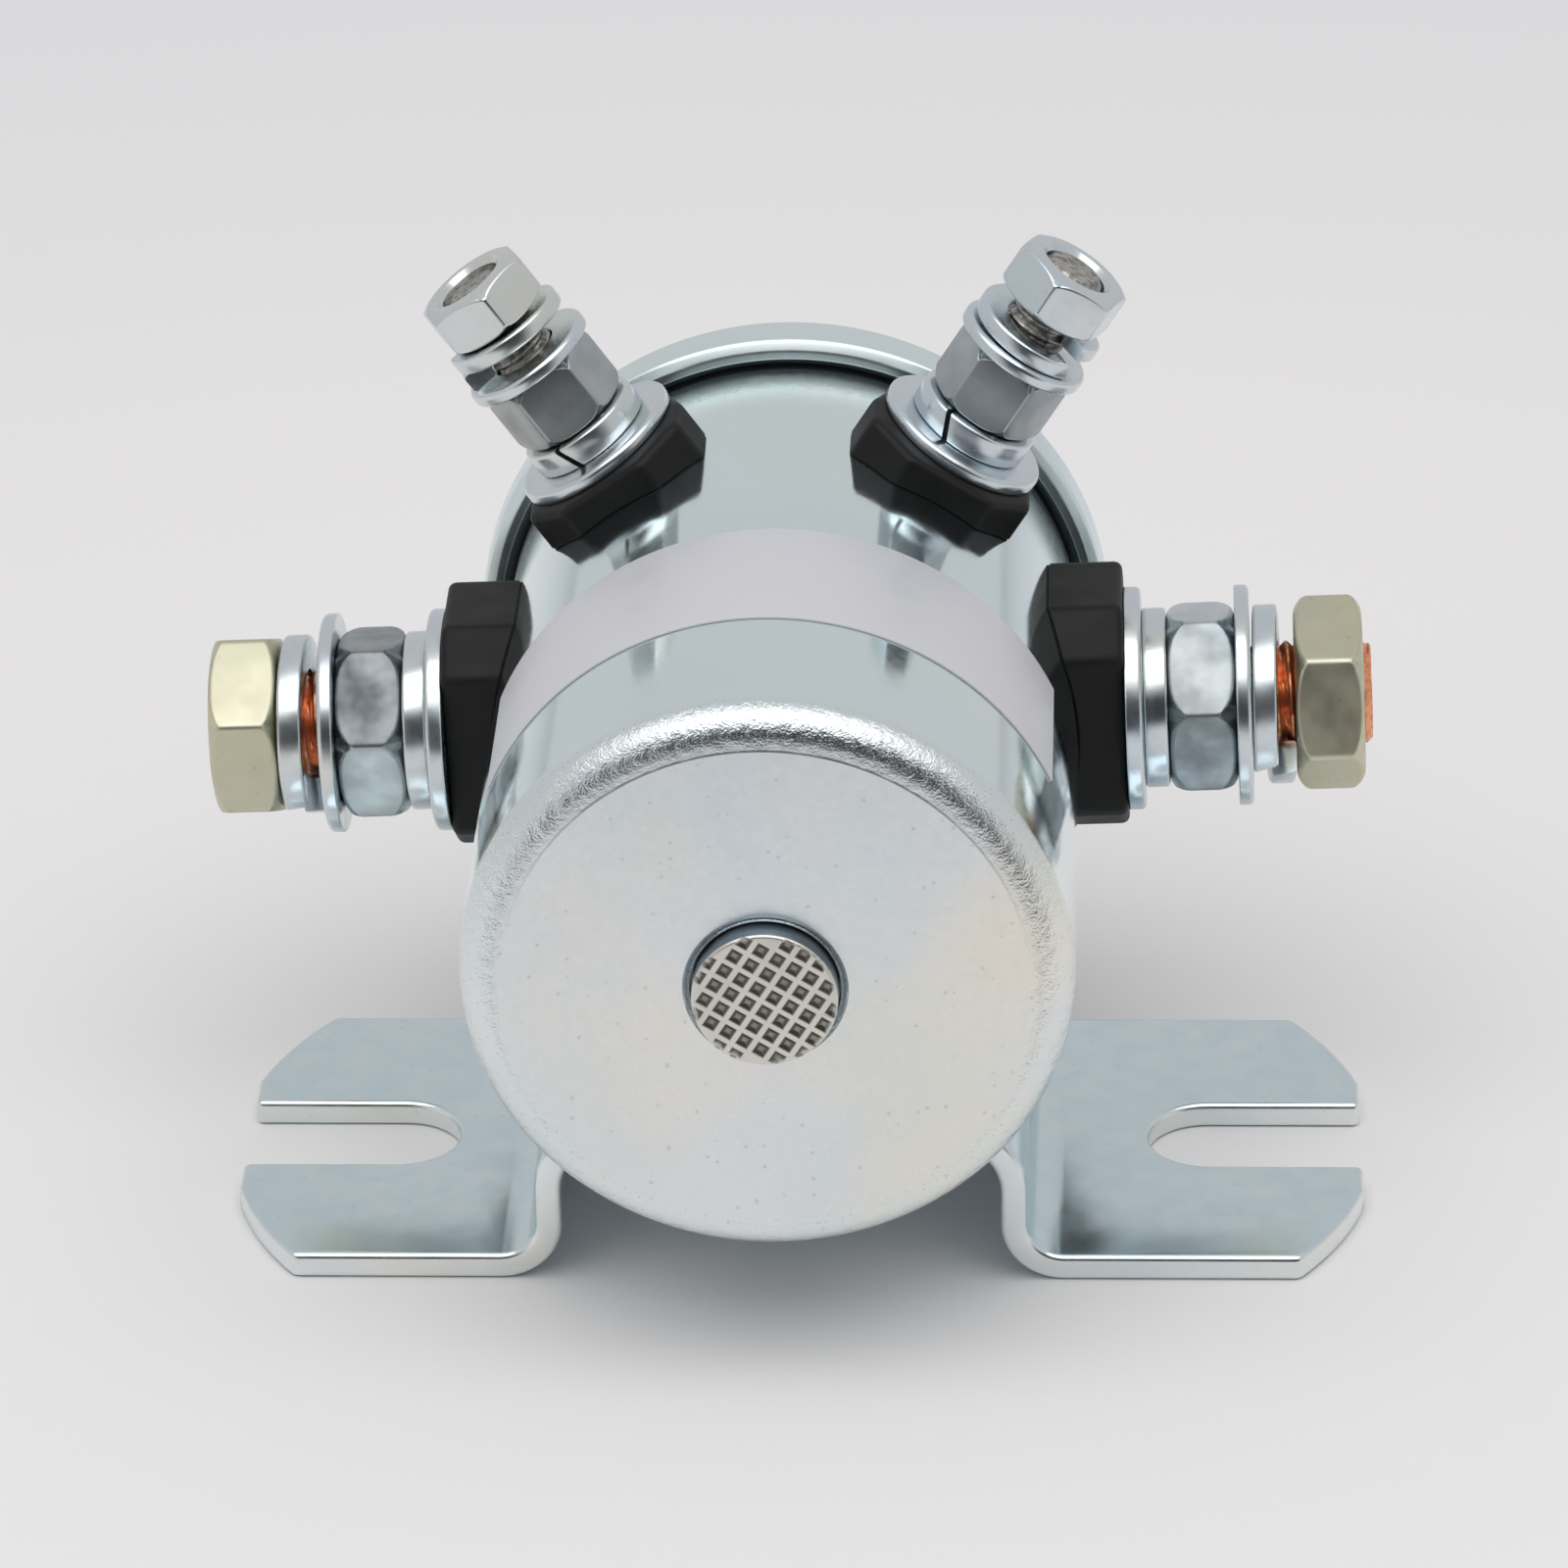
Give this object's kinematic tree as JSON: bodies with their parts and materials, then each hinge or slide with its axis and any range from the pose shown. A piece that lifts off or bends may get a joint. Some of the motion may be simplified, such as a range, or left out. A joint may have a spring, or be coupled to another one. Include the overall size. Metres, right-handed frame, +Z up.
{
  "type": "contactor",
  "caption": "Plunger-type direct-current contactor: a closed steel can on a folded bracket with open mounting slots, with heavy contact studs at its sides and small control studs on top.",
  "frame": {"origin": "midway between the two mounting slots, on the plane that the bracket's feet stand on", "axes": "+X to the right along the line of the two slots, +Y along the can from its closed front to its crimped rear rim, +Z up from the mounting plane"},
  "size_m": [0.0855, 0.062, 0.0676],
  "materials": {
    "zinc_plate": "bright zinc plating, bluish white",
    "olive_zinc": "pale yellow passivated zinc",
    "copper_stud": "bare copper, turned and threaded",
    "black_moulding": "satin black thermoset moulding",
    "silver_label": "plain silver film label",
    "soft_iron": "turned soft iron, lightly plated",
    "spring_steel": "spring steel",
    "copper_wire": "enamelled copper wire, wound",
    "sleeved_lead": "black sleeving",
    "nylon": "natural nylon moulding",
    "tape": "yellow insulating tape",
    "fibre": "vulcanised fibre",
    "gasket": "black gasket"
  },
  "bodies": {
    "housing": {"can": "zinc_plate", "end_cap": "zinc_plate", "cap_gasket": "gasket", "end_liner": "fibre", "bracket": "zinc_plate", "label": "silver_label", "fixed_core": "soft_iron", "bobbin": "nylon", "coil_winding": "copper_wire", "coil_wrap": "tape", "flux_plate": "soft_iron", "coil_lead_left": "sleeved_lead", "coil_lead_right": "sleeved_lead", "main_stud_left": "copper_stud", "main_stud_right": "copper_stud", "main_insulator_left": "black_moulding", "main_insulator_right": "black_moulding", "main_bush_left": "fibre", "main_bush_right": "fibre", "main_seat_washer_left": "zinc_plate", "main_seat_washer_right": "zinc_plate", "main_clamp_spring_washer_left": "zinc_plate", "main_clamp_spring_washer_right": "zinc_plate", "main_clamp_nut_left": "zinc_plate", "main_clamp_nut_right": "zinc_plate", "main_lug_washer_left": "zinc_plate", "main_lug_washer_right": "zinc_plate", "main_spring_washer_left": "zinc_plate", "main_spring_washer_right": "zinc_plate", "main_terminal_nut_left": "olive_zinc", "main_terminal_nut_right": "olive_zinc", "control_stud_left": "zinc_plate", "control_stud_right": "zinc_plate", "control_insulator_left": "black_moulding", "control_insulator_right": "black_moulding", "control_bush_left": "fibre", "control_bush_right": "fibre", "control_seat_washer_left": "zinc_plate", "control_seat_washer_right": "zinc_plate", "control_clamp_spring_washer_left": "zinc_plate", "control_clamp_spring_washer_right": "zinc_plate", "control_clamp_nut_left": "zinc_plate", "control_clamp_nut_right": "zinc_plate", "control_lug_washer_left": "zinc_plate", "control_lug_washer_right": "zinc_plate", "control_spring_washer_left": "zinc_plate", "control_spring_washer_right": "zinc_plate", "control_terminal_nut_left": "zinc_plate", "control_terminal_nut_right": "zinc_plate", "return_spring": "spring_steel"},
    "plunger_rod": {"plunger": "soft_iron", "contact_rod": "spring_steel", "spring_seat": "spring_steel", "retaining_clip": "spring_steel", "contact_spring": "spring_steel"},
    "moving_contact": {"contact_disc": "copper_stud", "disc_bush_front": "fibre", "disc_bush_rear": "fibre"}
  },
  "joints": [
    {"name": "plunger_slide", "type": "slide", "parent": "housing", "child": "plunger_rod", "axis": [0, -1, 0], "range_m": [0, 0.003], "stiffness_N_per_m": 400, "springref_m": -0.002, "deforming": ["return_spring"]},
    {"name": "contact_lag", "type": "slide", "parent": "plunger_rod", "child": "moving_contact", "axis": [0, 1, 0], "range_m": [0, 0.00081], "deforming": ["contact_spring"]}
  ],
  "couplings": [
    {"joint": "contact_lag", "follows": "plunger_slide", "ratio": 0.26667}
  ]
}
